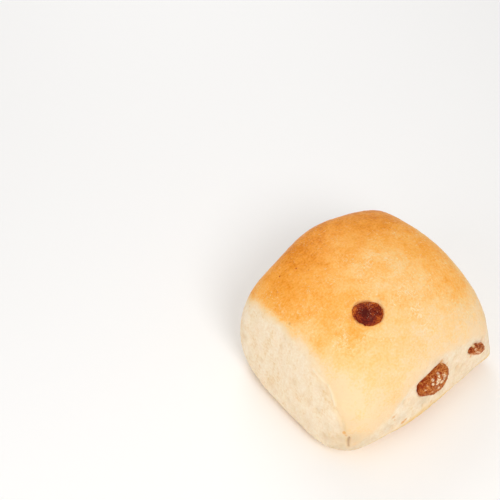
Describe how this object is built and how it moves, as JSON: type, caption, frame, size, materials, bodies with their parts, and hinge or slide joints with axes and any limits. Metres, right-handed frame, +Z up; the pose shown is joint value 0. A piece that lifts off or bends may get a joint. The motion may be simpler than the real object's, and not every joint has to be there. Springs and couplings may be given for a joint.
{
  "type": "raisin bun",
  "caption": "Small domed bun with a squarish plan, golden crust, torn crumb sides and raisins sunk in its top and one side.",
  "frame": {"origin": "centre of the bounding box, on the base", "axes": "+Z up from the flat base; -X faces the tall torn side, -Y the low torn side with two raisins in it"},
  "size_m": [0.067, 0.0626, 0.0453],
  "materials": {
    "bun": "baked bread: satin golden crust on the dome, matt cream crumb on the torn sides, browned base",
    "dark_raisin": "moist wrinkled dark raisin skin",
    "amber_raisin": "moist wrinkled amber raisin skin"
  },
  "bodies": {
    "root": {"bun": "bun", "raisin_top": "dark_raisin", "raisin_side_large": "amber_raisin", "raisin_side_small": "amber_raisin"}
  },
  "joints": []
}
